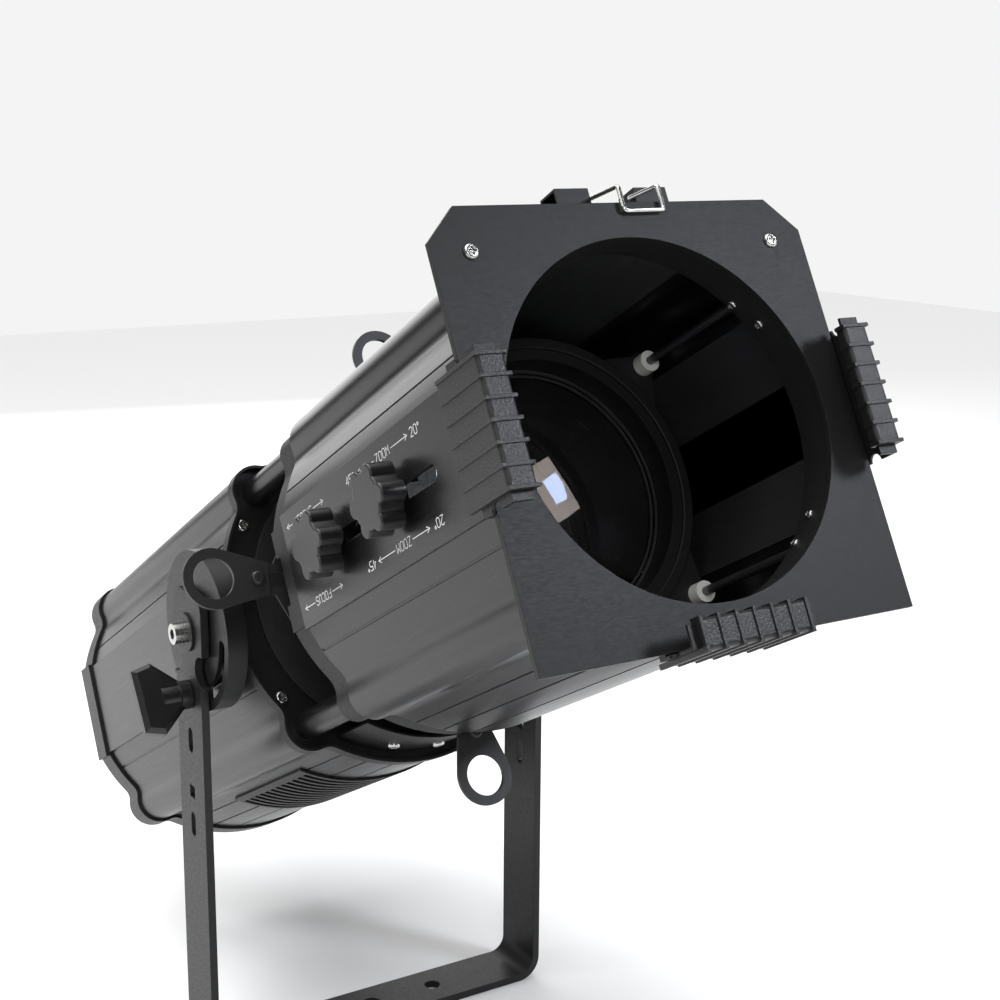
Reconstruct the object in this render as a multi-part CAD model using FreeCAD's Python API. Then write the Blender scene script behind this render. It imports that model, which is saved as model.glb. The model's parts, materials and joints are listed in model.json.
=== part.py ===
import FreeCAD, Part
import math
import os

# Zoom profile spotlight on a U yoke. Millimetres, +Z up, the light points to -Y and 28 degrees up.
# The origin is the centre of the hanging bore, on the underside of the yoke base.
# The lamp body is built level, with its front plane at y = 0 and its optical axis at z = 0,
# and every body piece is then tilted about the pivot and lifted to the pivot's height.

# Yoke
pivot_height = 290.0
tilt_rest = 28.1
bar_thick = 5.0
bar_width = 40.0
yoke_bend = 16.0
head_half = 22.5
head_top = 26.0
head_corner = 11.0
neck_drop = 20.5
neck_half = 11.0
neck_round = 9.5
shoulder_drop = 32.0
base_bore = 13.0
side_bore = 11.0
side_bore_x = 48.0
slot_drops = (70.0, 126.0)
slot_size = (7.0, 16.0)
square_drop = 104.0
square_side = 8.0

# Pivot and tilt lock
pivot_y = 362.5
pivot_bolt_r = 4.0
pivot_head_r = 6.5
pivot_head_high = 8.0
hex_key = 6.0
washer_r = 12.0
washer_thick = 1.6
friction_r = 18.0
lock_drop = 40.0
lock_stud_r = 4.0
lock_head = 13.0
lock_head_thick = 4.0
tilt_reach = 60.0
bracket_r = 50.0
bracket_long = 12.7
bracket_plate = 3.0
bracket_gap = 1.05
bracket_rim = 2.0
boss_r = 12.0
knob_base_r = 9.0
knob_base_high = 7.0
knob_high = 33.0
wing_long = 46.0
wing_foot = 21.0
wing_thick = 10.0
wing_turn = 35.0

# Body section: a round tube with four corner lobes and two flat side pads
body_r = 108.4
wall = 2.5
lobe_r = 15.4
lobe_place = body_r - 4.1
lobe_blend = 12.0
pad_x = body_r - 2.9
pad_half = round(0.3044 * body_r, 1)
arm_inner = pad_x + bracket_long + bracket_gap
groove_wide = 1.4
groove_deep = 0.9
groove_angles = (25.0, 61.0, 70.0, 80.0, 100.0, 110.0, 119.0, 155.0)

# Lengths along the body
ring_front = 3.0
barrel_front = 8.0
barrel_rear = 232.4
collar_front = 331.0
collar_thick = 3.0
rear_joint = 627.0
cap_long = 28.0
cap_rear = rear_joint + cap_long
cap_round = 9.0
cap_wall = 5.0
cap_proud = 2.0

# Colour frame, holders and grips
frame_side = 220.0
frame_leaf = 1.5
aperture_r = 91.6
frame_chamfer = 17.5
frame_half = frame_side / 2
frame_screw_x = frame_half - 21.0
frame_screw_z = frame_half - 23.0
frame_screw_hole_r = 2.0
holder_sheet = 1.5
holder_play = 0.8
holder_lip_y = -18.5
holder_lip_in = frame_half - 8.8
holder_half = 36.0
holder_notch_r = 4.0
grip_front_y = holder_lip_y - 3.0
grip_rear_y = 16.0
grip_inner = frame_half - 10.7
grip_outer = frame_half + 4.3
grip_half = 31.5
grip_round = 2.2
grip_hook = 1.5
rib_count = 7
rib_wide = 1.8
rib_proud = 0.8
bottom_shift = -5.0

# Top latch
latch_wire_r = 1.2
latch_y = 22.0
latch_z = body_r + 14.0
latch_left_x = 1.5
latch_right_x = 25.5
latch_bar_z = frame_half - 5.5
latch_bar_y = -2 * latch_wire_r
latch_top_z = frame_half + 7.5
latch_end = 9.0
latch_sink = 12.0
latch_bend = 2.0
latch_side_gap = latch_bend
bracket_wide = 20.0
latch_sheet = 1.2
latch_box_front = 18.5
latch_box_rear = 32.5
latch_box_top = body_r + 18.4

# Front ring, rods and lens carriages
liner_r = 93.4
liner_wall = 2.0
liner_rear = 24.0
liner_screws = ((41.0, 20.5), (31.0, 16.0), (-35.0, 16.0), (-45.0, 20.5))
flange_thick = 4.0
rod_r = 2.5
rod_place = body_r - 10.4
rod_angles = (40.0, -45.0)
rod_seat = 3.0
bush_r = 6.0
bush_fit = 0.05
bush_ahead = 8.0
bush_behind = 10.0
ear_r = 8.0
ear_root_half = 22.0
ear_thick = 5.0
zoom_knob_y = 92.5
zoom_front = zoom_knob_y + 19.1
zoom_lens_r = 72.0
zoom_tube_long = 28.4
focus_knob_y = 169.0
focus_front = focus_knob_y + 25.0
focus_lens_r = 60.0
focus_tube_long = 14.0
flange_r = 84.0
carriage_flange = 3.0
carriage_wall = 3.0
lens_shoulder = 3.0
lens_edge = 6.0
zoom_bulge = 20.0
focus_bulge = 4.0
lug_half = 5.5
lug_gap = 0.4
slot_wide = 8.0
zoom_slot = (50.0, 128.0)
focus_slot = (137.5, 216.0)
stud_r = 3.0
star_r = 13.5
star_lobe_r = 5.2
star_core_r = 14.5
star_count = 6
star_edge = 1.2
star_base_x = pad_x + 4.5
star_top_x = star_base_x + 13.5
star_collar_r = 6.0
stud_grip = 8.0

# Gate and shutters
band_plate_y = barrel_rear + 13.6
band_plate = 4.0
band_rear = band_plate_y + 11.0
gate_r = 76.0
gate_bore = 38.0
gate_front = band_rear + 2.0
gate_sheet = 2.0
plane_first = gate_front + gate_sheet + 2.2
plane_pitch = 3.2
gate_rear = plane_first + 3 * plane_pitch + 2.2
post_r = 8.5
band_lip = 1.6
band_sheet = 1.5
band_inset = 1.0
band_notch = 28.0
collar_proud = 1.5
collar_lip = 6.0
collar_screw_x = 86.5
collar_screw_z = 54.5
pin_r = 2.0
pin_place = 72.0
spacer_r = 3.5
spacer_place = 49.5
blade_sheet = 1.0
blade_half = 40.0
blade_inner = 40.0
blade_shoulder = 88.0
blade_neck = 104.0
tail_half = 9.3
tail_end = 120.0
slider_wide = 8.0
slider_long = 9.0
slider_thick = 2.2
slider_fit = 0.06
shutter_travel = 30.0
handle_sheet = 2.5
handle_ring_r = 17.7
handle_hole_r = 12.0
handle_place = 141.0
handle_start = 108.0
handle_screw = 115.0
left_turn = 7.5
bottom_in = 11.0
top_in = 6.5
cover_r = 102.0
cover_sheet = 1.5
cover_front = 284.0
cover_half_angle = 34.0
cover_screw_y = 312.0
cover_screw_step = 17.0

# Light engine and electronics
tube_r = 66.0
tube_wall = 2.5
tube_rear = 380.0
tube_flange_r = 90.0
tube_flange_thick = 3.0
condenser_r = 64.0
condenser_seat = 5.0
condenser_y = 345.0
condenser_bulge = 18.0
sink_base = 8.0
sink_r = 92.0
fin_count = 15
fin_thick = 2.4
fin_pitch = 11.5
fin_end = 455.0
fan_side = 119.0
fan_deep = 25.0
fan_bore = 57.5
rotor_r = 56.0
hub_r = 20.0
fan_shaft_r = 2.0
blade_count = 7
driver_front = rear_joint - 97.0
driver_half_x = 70.0
driver_half_z = 28.0
vent_front = 397.0
vent_rear = 521.0
vent_half_angle = 31.0
vent_frame = 4.0
vent_slats = 12
vent_slat_share = 0.4
vent_rail_angle = 3.0
vent_proud = 1.6
panel_z = 64.0
panel_size = (84.0, 46.0)
panel_thick = 3.0
button_r = 4.0
button_fit = 0.35
button_root = 1.5
button_proud = 1.5
button_round = 0.8
button_pitch = 16.0
button_drop = 13.0
window_half = 26.0
window_z = (-2.0, 17.0)
window_sunk = 1.2
inlet_x = -45.0
inlet_size = (30.0, 26.0)
inlet_mouth_r = 10.5
socket_xs = (8.0, 42.0)
socket_r = 12.0
socket_wall = 2.5
connector_z = -62.0
connector_deep = 24.0
connector_floor = 4.0
connector_lip = 3.0
connector_lip_thick = 2.0
contact_r = 1.2
contact_circle = (5.0, 4.0)
contact_sunk = 12.0

# Pan-head screws
screw_head_r = 4.0
screw_head_high = 2.6
screw_shank_r = 1.9
small_head_r = 2.6

X = FreeCAD.Vector(1, 0, 0)
Y = FreeCAD.Vector(0, 1, 0)
Z = FreeCAD.Vector(0, 0, 1)


def vec(x, y, z):
    return FreeCAD.Vector(x, y, z)


def box(x0, x1, y0, y1, z0, z1):
    return Part.makeBox(x1 - x0, y1 - y0, z1 - z0, vec(x0, y0, z0))


def rod(radius, start, along, length):
    return Part.makeCylinder(radius, length, start, along)


def disc(radius, y0, y1, x=0.0, z=0.0):
    return rod(radius, vec(x, y0, z), Y, y1 - y0)


def ring(outer, inner, y0, y1):
    return disc(outer, y0, y1).cut(disc(inner, y0 - 1, y1 + 1))


def prism(points, along):
    wire = Part.makePolygon(points + points[:1])
    return Part.Face(wire).extrude(along)


def fuse_all(shapes):
    body = shapes[0].fuse(shapes[1:]) if len(shapes) > 1 else shapes[0]
    return body.removeSplitter()


def mirror_x(shape):
    return shape.mirror(vec(0, 0, 0), X)


def turned(shape, centre, along, angle):
    copy = shape.copy()
    copy.rotate(centre, along, angle)
    return copy


def four_corners(distance_x, distance_z):
    return [(sx * distance_x, sz * distance_z) for sx in (-1, 1) for sz in (-1, 1)]


def lobed_prism(grow, y0, y1):
    """The body section grown outwards by grow, from y0 to y1, with soft blends beside the lobes."""
    place = lobe_place / math.sqrt(2)
    lobes = [disc(lobe_r + grow, y0, y1, x, z) for x, z in four_corners(place, place)]
    solid = fuse_all([disc(body_r + grow, y0, y1)] + lobes)
    inside_corner = []
    for edge in solid.Edges:
        low, high = edge.BoundBox.YMin, edge.BoundBox.YMax
        middle = edge.CenterOfMass
        on_circle = abs(math.hypot(middle.x, middle.z) - body_r - grow) < 0.01
        if high - low > 0.9 * (y1 - y0) and on_circle:
            inside_corner.append(edge)
    solid = solid.makeFillet(lobe_blend - grow, inside_corner)
    pad = pad_x + grow
    half = pad_half + grow
    reach = 2 * body_r
    solid = solid.common(box(-pad, pad, y0, y1, -reach, reach))
    return solid.fuse(box(-pad, pad, y0, y1, -half, half)).removeSplitter()


def body_shell(y0, y1):
    """A length of the extrusion: outer section, inner section and the grooves along it."""
    shell = lobed_prism(0, y0, y1).cut(lobed_prism(-wall, y0 - 1, y1 + 1))
    cutters = []
    for angle in groove_angles:
        for side in (1, -1):
            blade = box(body_r - groove_deep, body_r + 5, y0 - 1, y1 + 1, -groove_wide / 2, groove_wide / 2)
            cutters.append(turned(blade, vec(0, 0, 0), Y, -side * angle))
    return shell.cut(Part.makeCompound(cutters))


def pan_screw(place, outward, head_r, shank_long):
    """A domed screw head on a face, with its shank going in."""
    head = rod(head_r, place, outward, screw_head_high)
    top = max(head.Edges, key=lambda e: e.CenterOfMass.sub(place).dot(outward))
    head = head.makeFillet(screw_head_high * 0.6, [top])
    shank = rod(min(screw_shank_r, head_r * 0.5), place, outward * -1, shank_long)
    return head.fuse(shank).removeSplitter()


def bent_wire(points, bend, radius):
    """A round wire along straight runs joined by tangent arcs of one radius."""
    edges = []
    start = points[0]
    for before, corner, after in zip(points, points[1:], points[2:]):
        into = (corner - before).normalize()
        out = (after - corner).normalize()
        turn = into.getAngle(out)
        cut = bend * math.tan(turn / 2)
        first = corner - into * cut
        last = corner + out * cut
        bisector = (out - into).normalize()
        centre = corner + bisector * (bend / math.cos(turn / 2))
        middle = centre - bisector * bend
        edges.append(Part.LineSegment(start, first).toShape())
        edges.append(Part.Arc(first, middle, last).toShape())
        start = last
    edges.append(Part.LineSegment(start, points[-1]).toShape())
    path = Part.Wire(edges)
    profile = Part.Wire(Part.makeCircle(radius, points[0], (points[1] - points[0]).normalize()))
    return path.makePipeShell([profile], True, False)


# Yoke pieces: these stay upright and are made where they stand

def yoke_outline(grow):
    """Solid U block, base at the bottom, used for the outside and, shrunk, for the inside."""
    half = arm_inner + grow
    bottom = bar_thick - grow
    block = box(-half, half, -head_half, head_half, bottom, pivot_height + head_top + bar_thick)
    corners = []
    for edge in block.Edges:
        middle = edge.CenterOfMass
        if abs(middle.z - bottom) < 0.01 and abs(middle.y) < 0.01:
            corners.append(edge)
    return block.makeFillet(yoke_bend + grow - bar_thick, corners)


def make_yoke_bar():
    bar = yoke_outline(bar_thick).cut(yoke_outline(0))
    reach = arm_inner + 2 * bar_thick
    shoulder = pivot_height - shoulder_drop
    half = bar_width / 2
    cutters = [
        box(-reach, reach, half, head_half + 1, -1, shoulder),
        box(-reach, reach, -head_half - 1, -half, -1, shoulder),
        box(-reach, reach, -head_half - 1, head_half + 1,
            pivot_height + head_top, pivot_height + 4 * head_top),
    ]
    for side in (-1, 1):
        neck_z = pivot_height - neck_drop
        neck_y = side * (neck_half + neck_round)
        cutters.append(rod(neck_round, vec(-reach, neck_y, neck_z), X, 2 * reach))
        cutters.append(rod(side_bore / 2, vec(side * side_bore_x, 0, -1), Z, 2 * bar_thick))
    for drop in (0, lock_drop):
        cutters.append(rod(pivot_bolt_r + 0.05, vec(-reach, 0, pivot_height - drop), X, 2 * reach))
    for drop in slot_drops:
        wide, tall = slot_size
        straight = (tall - wide) / 2
        middle = pivot_height - drop
        cutters.append(box(-reach, reach, -wide / 2, wide / 2, middle - straight, middle + straight))
        for end in (-straight, straight):
            cutters.append(rod(wide / 2, vec(-reach, 0, middle + end), X, 2 * reach))
    square = square_side / 2
    middle = pivot_height - square_drop
    cutters.append(box(-reach, reach, -square, square, middle - square, middle + square))
    cutters.append(rod(base_bore / 2, vec(0, 0, -1), Z, 2 * bar_thick))
    bar = bar.cut(Part.makeCompound(cutters))
    tops = []
    for edge in bar.Edges:
        middle = edge.CenterOfMass
        high = abs(middle.z - pivot_height - head_top) < 0.01
        if high and abs(abs(middle.y) - head_half) < 0.01:
            tops.append(edge)
    return bar.makeFillet(head_corner, tops)


def both_sides(piece):
    return Part.makeCompound([piece, mirror_x(piece)])


def make_pivot_bolt():
    """Socket-head bolt through washer, arm, friction disc and bracket boss, on the -X side."""
    face = arm_inner + bar_thick + washer_thick
    middle = vec(-face, 0, pivot_height)
    head = rod(pivot_head_r, middle, X * -1, pivot_head_high)
    corners = []
    reach = hex_key / 2 / math.cos(math.pi / 6)
    for step in range(6):
        angle = math.radians(60 * step)
        corners.append(middle + vec(-pivot_head_high, reach * math.cos(angle), reach * math.sin(angle)))
    head = head.cut(prism(corners, X * (pivot_head_high * 0.6)))
    shank = rod(pivot_bolt_r, middle, X, face - pad_x - 2)
    return head.fuse(shank).removeSplitter()


def make_pivot_washer():
    face = arm_inner + bar_thick
    plate = rod(washer_r, vec(-face, 0, pivot_height), X * -1, washer_thick)
    return plate.cut(rod(pivot_bolt_r + 0.05, vec(-face - 5, 0, pivot_height), X, 10))


def make_friction_disc():
    plate = rod(friction_r, vec(-arm_inner, 0, pivot_height), X, bracket_gap - 0.1)
    return plate.cut(rod(pivot_bolt_r + 0.05, vec(-arm_inner - 5, 0, pivot_height), X, 10))


def make_lock_stud():
    """Square-headed stud: the head sits inside the bracket cup, the shank passes the arc slot and the arm."""
    inside = arm_inner - bracket_gap - bracket_plate - 0.3
    middle = pivot_height - lock_drop
    half = lock_head / 2
    head = box(-inside, -inside + lock_head_thick, -half, half, middle - half, middle + half)
    shank_long = arm_inner + bar_thick + knob_base_high - inside
    shank = rod(lock_stud_r, vec(-inside + 1, 0, middle), X * -1, shank_long)
    return head.fuse(shank).removeSplitter()


def make_wing_knob(side):
    """Clamping knob: round base and a faceted wing, wider at its outer end."""
    face = arm_inner + bar_thick + 0.4
    base = rod(knob_base_r, vec(-face, 0, 0), X * -1, knob_base_high)
    half_foot = wing_foot / 2
    half_long = wing_long / 2
    half_thick = wing_thick / 2
    outer = -face - knob_high
    inner = -face - knob_base_high * 0.5
    step = -face - knob_high * 0.62
    profile = [
        vec(inner, -half_thick, -half_foot * 0.7), vec(step, -half_thick, -half_long),
        vec(outer, -half_thick, -half_long * 0.86), vec(outer, -half_thick, half_long * 0.86),
        vec(step, -half_thick, half_long), vec(inner, -half_thick, half_foot * 0.7),
    ]
    wing = prism(profile, Y * wing_thick)
    slope = wing_thick * 0.28
    long_edges = [e for e in wing.Edges if abs(abs(e.CenterOfMass.y) - half_thick) < 0.01]
    wing = wing.makeChamfer(slope, long_edges)
    hub = rod(knob_base_r * 0.8, vec(-face, 0, 0), X * -1, knob_high * 0.55)
    knob = fuse_all([base, wing, hub])
    knob = knob.cut(rod(lock_stud_r + 0.05, vec(-face + 1, 0, 0), X * -1, knob_base_high + 1.5))
    knob = turned(knob, vec(0, 0, 0), X, -wing_turn)
    knob.translate(vec(0, 0, pivot_height - lock_drop))
    return knob if side < 0 else mirror_x(knob)


# Body pieces: made level, then set at the resting tilt

def make_tilt_bracket():
    """Cup on the body's side: pivot boss, rim against the pad and an arc slot for the lock stud."""
    face = -(arm_inner - bracket_gap)
    middle = vec(face, pivot_y, 0)
    long = arm_inner - bracket_gap - pad_x
    cup = rod(bracket_r, middle, X, long)
    hollow = rod(bracket_r - bracket_rim, middle + X * bracket_plate, X, long)
    boss = rod(boss_r, middle, X, long)
    cup = cup.cut(hollow).fuse(boss)
    slot = []
    half = lock_stud_r + 0.4
    spread = tilt_reach + 1.0
    arc = rod(lock_drop + half, middle - X, X, bracket_plate + 2)
    arc = arc.cut(rod(lock_drop - half, middle - X * 2, X, bracket_plate + 4))
    far = 3 * bracket_r
    rise = math.radians(spread)
    outline = [vec(0, 0, 0), vec(0, far * math.sin(rise), -far * math.cos(rise)),
               vec(0, 0, -far), vec(0, -far * math.sin(rise), -far * math.cos(rise))]
    wedge = prism([middle - X * 2 + point for point in outline], X * (bracket_plate + 4))
    slot.append(arc.common(wedge))
    for side in (-1, 1):
        end = middle + vec(-1, side * lock_drop * math.sin(rise), -lock_drop * math.cos(rise))
        slot.append(rod(half, end, X, bracket_plate + 2))
    slot.append(rod(pivot_bolt_r + 0.05, middle - X, X, long + 2))
    return cup.cut(Part.makeCompound(slot)).removeSplitter()


def control_slot(span):
    """Long slot through the -X pad for a knob's stud."""
    front, rear = span
    half = slot_wide / 2
    x0 = -pad_x - 1
    x1 = -pad_x + wall + 1
    straight = box(x0, x1, front + half, rear - half, -half, half)
    ends = [rod(half, vec(x0, y, 0), X, x1 - x0) for y in (front + half, rear - half)]
    return Part.makeCompound([straight] + ends)


def make_front_barrel():
    return body_shell(barrel_front, barrel_rear).cut(control_slot(zoom_slot)).cut(control_slot(focus_slot))


def rod_places():
    places = []
    for angle in rod_angles:
        x = rod_place * math.cos(math.radians(angle))
        z = rod_place * math.sin(math.radians(angle))
        places.extend([(x, z), (-x, z)])
    return places


def make_front_ring():
    """Lobed end ring with side tabs for the holders, a liner tube and a flange that takes the rods."""
    tab = frame_half + holder_play
    plate = lobed_prism(1.5, ring_front, barrel_front)
    plate = plate.fuse(box(-tab, tab, ring_front, barrel_front, -holder_half, holder_half))
    foot = box(bottom_shift - holder_half, bottom_shift + holder_half, ring_front, barrel_front, -tab, 0)
    plate = plate.fuse(foot).cut(disc(liner_r, ring_front - 1, barrel_front + 1))
    liner = ring(liner_r + liner_wall, liner_r, barrel_front, liner_rear)
    flange = ring(body_r - wall - 1.5, liner_r, liner_rear - flange_thick, liner_rear)
    inside_pad = pad_x - wall - 0.5
    flange = flange.common(box(-inside_pad, inside_pad, 0, 2 * liner_rear, -body_r, body_r))
    solid = fuse_all([plate, liner, flange])
    holes = [disc(rod_r, liner_rear - rod_seat, liner_rear + 1, x, z) for x, z in rod_places()]
    return solid.cut(Part.makeCompound(holes))


def frame_leaf_at(y0):
    half = frame_half
    cut = half - frame_chamfer
    outline = [vec(-half, y0, -half), vec(half, y0, -half), vec(half, y0, cut), vec(cut, y0, half),
               vec(-cut, y0, half), vec(-half, y0, cut)]
    leaf = prism(outline, Y * frame_leaf).cut(disc(aperture_r, y0 - 1, y0 + 3))
    holes = []
    for side in (-1, 1):
        holes.append(disc(frame_screw_hole_r, y0 - 1, y0 + 3, side * frame_screw_x, frame_screw_z))
    return leaf.cut(Part.makeCompound(holes))


def make_holder():
    """Sheet channel on the -X side: web beside the frame's edge, and a lip in front of it."""
    web = frame_half + holder_play
    outer = web + holder_sheet
    wall_part = box(-outer, -web, holder_lip_y, barrel_front, -holder_half, holder_half)
    lip = box(-outer, -holder_lip_in, holder_lip_y, holder_lip_y + holder_sheet, -holder_half, holder_half)
    holder = wall_part.fuse(lip)
    notch = []
    for side in (-1, 1):
        middle = vec(-outer - 1, -holder_notch_r, side * holder_half)
        notch.append(rod(holder_notch_r, middle, X, 2 * holder_sheet + 1))
    return holder.cut(Part.makeCompound(notch)).removeSplitter()


def make_grip():
    """Ribbed moulded cap that hooks round the holder's lip and covers its web, on the -X side."""
    web = frame_half + holder_play + holder_sheet
    reach = grip_half + rib_wide
    block = box(-grip_outer, -grip_inner, grip_front_y, grip_rear_y, -grip_half, grip_half)
    front_edges = []
    for edge in block.Edges:
        at_front = abs(edge.CenterOfMass.y - grip_front_y) < 0.01
        if at_front and edge.BoundBox.ZLength > grip_half:
            front_edges.append(edge)
    solids = [block.makeFillet(grip_round, front_edges)]
    pitch = (2 * grip_half - rib_wide) / (rib_count - 1)
    for index in range(rib_count):
        z0 = -grip_half + index * pitch
        solids.append(box(-grip_outer - rib_proud, -grip_inner + rib_proud,
                          grip_front_y - rib_proud, grip_rear_y, z0, z0 + rib_wide))
    channel = box(-web, -holder_lip_in, holder_lip_y, grip_rear_y + 1, -reach, reach)
    hook_rear = holder_lip_y + holder_sheet + grip_hook
    open_side = box(-web, -grip_inner + 2 * rib_proud, hook_rear, grip_rear_y + 1, -reach, reach)
    return fuse_all(solids).cut(channel).cut(open_side).removeSplitter()


def to_bottom(shape):
    """Turn a -X side piece to the underside and shift it along X."""
    copy = turned(shape, vec(0, 0, 0), Y, -90)
    copy.translate(vec(bottom_shift, 0, 0))
    return copy


def make_latch_box(x0, x1, wall_x):
    """Sheet hook on the barrel's top with one end wall that holds the wire."""
    sheet = latch_sheet
    outer = box(x0, x1, latch_box_front, latch_box_rear, body_r - latch_sink, latch_box_top)
    inner = box(x0 - 1, x1 + 1, latch_box_front + sheet, latch_box_rear - sheet, 0, latch_box_top - sheet)
    end = box(wall_x, wall_x + sheet, latch_box_front, latch_box_rear, body_r - latch_sink, latch_box_top)
    hook = outer.cut(inner).fuse(end)
    hole = rod(latch_wire_r + 0.06, vec(x0 - 5, latch_y, latch_z), X, x1 - x0 + 10)
    return hook.cut(hole).cut(lobed_prism(0, 0, 60)).removeSplitter()


def make_latch_brackets():
    left_x = latch_left_x - latch_side_gap
    left = make_latch_box(left_x - bracket_wide, left_x, left_x - latch_sheet)
    right_x = latch_right_x + latch_side_gap
    right = make_latch_box(right_x, right_x + bracket_wide, right_x)
    return Part.makeCompound([left, right])


def make_latch_wire():
    reach = latch_end
    points = [
        vec(latch_left_x - reach, latch_y, latch_z), vec(latch_left_x, latch_y, latch_z),
        vec(latch_left_x, latch_bar_y, latch_top_z), vec(latch_left_x, latch_bar_y, latch_bar_z),
        vec(latch_right_x, latch_bar_y, latch_bar_z), vec(latch_right_x, latch_bar_y, latch_top_z),
        vec(latch_right_x, latch_y, latch_z), vec(latch_right_x + reach, latch_y, latch_z),
    ]
    return bent_wire(points, latch_bend, latch_wire_r)


def make_guide_rods():
    start = liner_rear - rod_seat
    return Part.makeCompound([disc(rod_r, start, band_plate_y + 2, x, z) for x, z in rod_places()])


def lens_solid(radius, edge_y, edge_thick, bulge):
    """Plano-convex lens of revolution: flat rim, domed front."""
    rim = disc(radius, edge_y, edge_y + edge_thick)
    ball_r = (radius ** 2 + bulge ** 2) / (2 * bulge)
    ball = Part.makeSphere(ball_r, vec(0, edge_y - bulge + ball_r, 0))
    dome = ball.common(disc(radius, edge_y - bulge - 1, edge_y + edge_thick * 0.5))
    return rim.fuse(dome).removeSplitter()


def make_carriage(front, lens_r, tube_long, knob_y):
    """Flange, lens tube with a rear shoulder, four ears for the bushings and a lug for the knob stud."""
    rear = front + tube_long
    flange = ring(flange_r, lens_r - 1, front, front + carriage_flange)
    tube = ring(lens_r + carriage_wall, lens_r, front, rear)
    shoulder = ring(lens_r + 1, lens_r - lens_shoulder, rear - lens_shoulder, rear)
    ears = []
    for x, z in rod_places():
        away = math.hypot(x, z)
        side = vec(-z / away, 0, x / away)
        root = vec(x, 0, z) * ((flange_r - 4) / away)
        tip = vec(x, 0, z)
        half = side * ear_root_half
        outline = [root + half, tip + side * ear_r, tip - side * ear_r, root - half]
        ears.append(prism([p + Y * front for p in outline], Y * ear_thick))
        ears.append(disc(ear_r, front, front + ear_thick, x, z))
    lug_x = pad_x - wall - lug_gap
    lug = box(-lug_x, -flange_r + 5, knob_y - lug_half, front + carriage_flange, -lug_half, lug_half)
    solid = fuse_all([flange, tube, shoulder, lug] + ears)
    holes = [disc(bush_r, front - 1, front + ear_thick + 1, x, z) for x, z in rod_places()]
    holes.append(rod(stud_r + bush_fit, vec(-lug_x - 1, knob_y, 0), X, stud_grip + 4))
    holes.append(disc(lens_r, front - 2, rear - lens_shoulder))
    return solid.cut(Part.makeCompound(holes)).removeSplitter()


def make_bushings(front):
    """Shouldered nylon bushings on the rods."""
    bushes = []
    for x, z in rod_places():
        bush = disc(bush_r, front - bush_ahead, front + bush_behind, x, z)
        bush = bush.cut(disc(rod_r + bush_fit, front - bush_ahead - 1, front + bush_behind + 1, x, z))
        bushes.append(bush)
    return Part.makeCompound(bushes)


def make_star_knob(knob_y):
    """Six-lobed knob moulded on a stud that passes the slot into the carriage lug."""
    top = -star_top_x
    base = -star_base_x
    along = base - top
    lobes = []
    for index in range(star_count):
        angle = 2 * math.pi * index / star_count
        place = vec(top, star_r * math.cos(angle), star_r * math.sin(angle))
        lobes.append(rod(star_lobe_r, place, X, along))
    head = fuse_all([rod(star_core_r, vec(top, 0, 0), X, along)] + lobes)
    rim = [e for e in head.Edges if abs(e.CenterOfMass.x - top) < 0.01 and e.BoundBox.XLength < 0.01]
    head = head.makeFillet(star_edge, rim)
    spacer = rod(star_collar_r, vec(base, 0, 0), X, star_base_x - pad_x - lug_gap)
    shank = rod(stud_r, vec(base, 0, 0), X, star_base_x - pad_x + wall + lug_gap + stud_grip)
    knob = fuse_all([head, spacer, shank])
    knob.translate(vec(0, knob_y, 0))
    return knob


def make_corner_posts():
    place = lobe_place / math.sqrt(2)
    start = band_plate_y + band_plate
    return Part.makeCompound([disc(post_r, start, collar_front, x, z) for x, z in four_corners(place, place)])


def make_gate_band():
    """Lobed skirt behind the barrel: an end lip, a plate for rods and posts, and a thin wall with notches."""
    inset = -wall - band_inset
    lip = lobed_prism(-0.6, barrel_rear, barrel_rear + band_lip)
    skirt = lobed_prism(inset, barrel_rear - 6, band_rear)
    solid = lip.fuse(skirt).cut(lobed_prism(inset - band_sheet, barrel_rear - 8, band_rear + 1))
    plate = lobed_prism(inset - band_sheet + 0.5, band_plate_y, band_plate_y + band_plate).cut(
        disc(gate_r + 2, band_plate_y - 1, band_plate_y + band_plate + 1))
    solid = solid.fuse(plate).removeSplitter()
    notches = [disc(rod_r, band_plate_y - 1, band_plate_y + 2, x, z) for x, z in rod_places()]
    rear_zone = band_plate_y + band_plate
    for angle in (0, 90, 180, 270):
        notch = box(-band_notch / 2, band_notch / 2, rear_zone + 2, band_rear + 1, body_r - 20, body_r + 5)
        notches.append(turned(notch, vec(0, 0, 0), Y, angle))
    return solid.cut(Part.makeCompound(notches))


def make_collar():
    """Lobed pressed collar in front of the rear body, with a turned-forward lip."""
    rear = collar_front + collar_thick
    plate = lobed_prism(collar_proud, collar_front, rear)
    inner = lobed_prism(-0.3, collar_front - collar_lip - 1, collar_front + 1)
    lip = lobed_prism(collar_proud, collar_front - collar_lip, collar_front).cut(inner)
    solid = plate.fuse(lip).cut(disc(tube_r + tube_wall + 0.5, collar_front - 1, rear + 1))
    reach = 2 * body_r
    solid = solid.common(box(-pad_x, pad_x, 0, reach * 2, -reach, reach))
    holes = [disc(screw_shank_r + 0.1, collar_front - 1, rear + 1, x, z) for x, z in collar_screw_places()]
    return solid.cut(Part.makeCompound(holes)).removeSplitter()


def collar_screw_places():
    return four_corners(collar_screw_x, collar_screw_z)


def make_gate_plate_front():
    plate = ring(gate_r, gate_bore, gate_front, gate_front + gate_sheet)
    return plate.cut(Part.makeCompound([disc(1.2, 0, 400, x, z) for x, z in spacer_places()]))


def spacer_places():
    return four_corners(spacer_place, spacer_place)


def pin_places():
    return [(pin_place, 0), (-pin_place, 0), (0, pin_place), (0, -pin_place)]


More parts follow.
